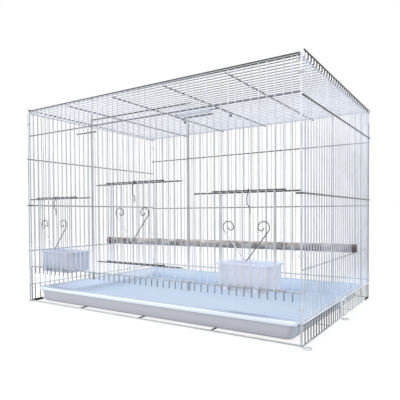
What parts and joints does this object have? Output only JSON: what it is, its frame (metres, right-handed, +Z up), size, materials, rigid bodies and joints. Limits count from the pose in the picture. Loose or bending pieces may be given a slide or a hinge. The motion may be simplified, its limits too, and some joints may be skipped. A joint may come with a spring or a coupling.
{
  "type": "canary breeding cage",
  "caption": "Welded wire bird cage with lift-up doors, hung cups, a perch, a slide-out tray and a folding carrying handle.",
  "frame": {"origin": "middle of the footprint, on the floor", "axes": "+X to the cage's right seen from the front, the front faces -Y, +Z up"},
  "size_m": [0.638, 0.4212, 0.4164],
  "materials": {
    "wire": "pale zinc plated steel wire",
    "cup_plastic": "pale translucent plastic",
    "tray_plastic": "pale smooth plastic",
    "perch_wood": "plain grey-brown wood",
    "grip_plastic": "white plastic",
    "rubber": "black rubber"
  },
  "bodies": {
    "cage": {"front_panel": "wire", "bay_posts": "wire", "ladder_rails": "wire", "back_panel": "wire", "left_panel": "wire", "right_panel": "wire", "hook_rails": "wire", "roof_panel": "wire", "base_frame": "wire", "side_arches": "wire", "foot_loops": "wire", "corner_rings": "wire", "feet": "rubber"},
    "left_door": {"left_door": "wire", "left_heart": "wire"},
    "left_hook": {"left_door_hook": "wire"},
    "centre_door": {"centre_door": "wire", "centre_heart": "wire"},
    "centre_hook": {"centre_door_hook": "wire"},
    "right_door": {"right_door": "wire", "right_heart": "wire"},
    "right_hook": {"right_door_hook": "wire"},
    "left_cup": {"left_cup": "cup_plastic"},
    "right_cup": {"right_cup": "cup_plastic"},
    "perch": {"perch": "perch_wood"},
    "tray": {"tray": "tray_plastic"},
    "handle": {"handle_bail": "wire", "handle_grip": "grip_plastic"}
  },
  "joints": [
    {"name": "left_door_lift", "type": "slide", "parent": "cage", "child": "left_door", "axis": [0, 0, 1], "range_m": [0, 0.13]},
    {"name": "left_hook_swing", "type": "hinge", "parent": "left_door", "child": "left_hook", "pos_m": [-0.21568, -0.2051, 0.2218], "axis": [-1, 0, 0], "range_deg": [-2, 150]},
    {"name": "centre_door_lift", "type": "slide", "parent": "cage", "child": "centre_door", "axis": [0, 0, 1], "range_m": [0, 0.106]},
    {"name": "centre_hook_swing", "type": "hinge", "parent": "centre_door", "child": "centre_hook", "pos_m": [-0.00322, -0.2051, 0.2443], "axis": [-1, 0, 0], "range_deg": [-2, 150]},
    {"name": "right_door_lift", "type": "slide", "parent": "cage", "child": "right_door", "axis": [0, 0, 1], "range_m": [0, 0.13]},
    {"name": "right_hook_swing", "type": "hinge", "parent": "right_door", "child": "right_hook", "pos_m": [0.22212, -0.2051, 0.2218], "axis": [-1, 0, 0], "range_deg": [-2, 150]},
    {"name": "left_cup_lift", "type": "slide", "parent": "cage", "child": "left_cup", "axis": [0, 0, 1], "range_m": [0, 0.03]},
    {"name": "right_cup_lift", "type": "slide", "parent": "cage", "child": "right_cup", "axis": [0, 0, 1], "range_m": [0, 0.03]},
    {"name": "perch_lift", "type": "slide", "parent": "cage", "child": "perch", "axis": [0, 0, 1], "range_m": [0, 0.07]},
    {"name": "tray_slide", "type": "slide", "parent": "cage", "child": "tray", "axis": [0, -1, 0], "range_m": [0, 0.36]},
    {"name": "handle_fold", "type": "hinge", "parent": "cage", "child": "handle", "pos_m": [-0.018, 0.05629, 0.4049], "axis": [-1, 0, 0], "range_deg": [0, 140]}
  ]
}
